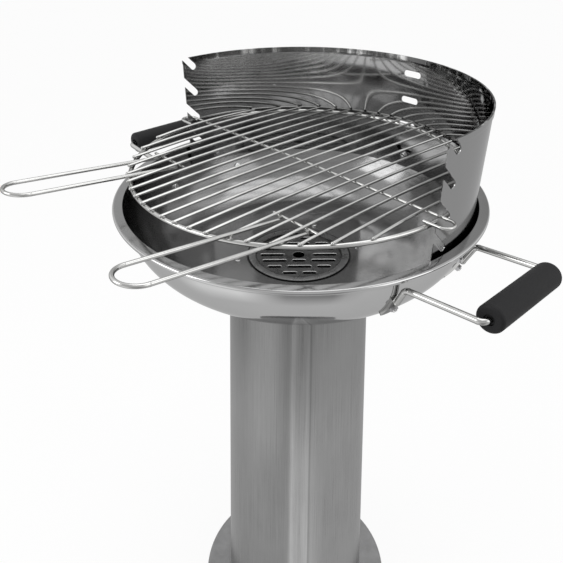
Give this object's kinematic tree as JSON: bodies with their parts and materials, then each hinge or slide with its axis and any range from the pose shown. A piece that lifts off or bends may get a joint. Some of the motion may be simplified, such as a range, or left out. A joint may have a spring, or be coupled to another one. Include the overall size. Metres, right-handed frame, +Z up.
{
  "type": "charcoal grill",
  "caption": "Round polished steel charcoal grill on a column, with a notched half-round wind shield, a hook-in wire cooking grate with loop handles and black side grips.",
  "frame": {"origin": "on the ground under the column's axis, in the middle of the base plate's underside", "axes": "+X towards the right side handle, +Y towards the back of the wind shield, +Z up"},
  "size_m": [0.6514, 0.558, 0.966],
  "materials": {
    "polished_steel": "mirror polished",
    "matt_steel": "fine vertical brushing",
    "bright_wire": "bright",
    "zinc": "bright zinc",
    "grip_plastic": "matt with fine grain"
  },
  "bodies": {
    "stand": {"base_plate": "matt_steel", "base_studs": "zinc", "base_nuts": "zinc", "column_foot_brackets": "zinc", "column": "matt_steel", "column_top_brackets": "zinc", "fire_bowl": "polished_steel", "floor_screws": "zinc", "floor_nuts": "zinc", "wind_shield": "polished_steel", "shield_screws": "zinc", "shield_nuts": "zinc", "handle_rod_left": "bright_wire", "handle_rod_right": "bright_wire", "grip_left": "grip_plastic", "grip_right": "grip_plastic", "handle_screws": "zinc", "handle_nuts": "zinc"},
    "cooking_grate": {"grate_ring": "bright_wire", "grate_bars": "bright_wire", "grate_cross_wire": "bright_wire", "grate_rear_hook": "bright_wire", "grate_stays": "bright_wire", "grate_handle_left": "bright_wire", "grate_handle_right": "bright_wire"},
    "ember_plate": {"ember_grate": "matt_steel"},
    "pan": {"ash_pan": "matt_steel"}
  },
  "joints": [
    {"name": "grate_lift", "type": "slide", "parent": "stand", "child": "cooking_grate", "axis": [0, -0.7071, 0.7071], "range_m": [0, 0.16]},
    {"name": "ember_grate_lift", "type": "slide", "parent": "stand", "child": "ember_plate", "axis": [0, 0, 1], "range_m": [0, 0.12]},
    {"name": "ash_pan_pull", "type": "slide", "parent": "stand", "child": "pan", "axis": [0, 1, 0], "range_m": [0, 0.23]}
  ]
}
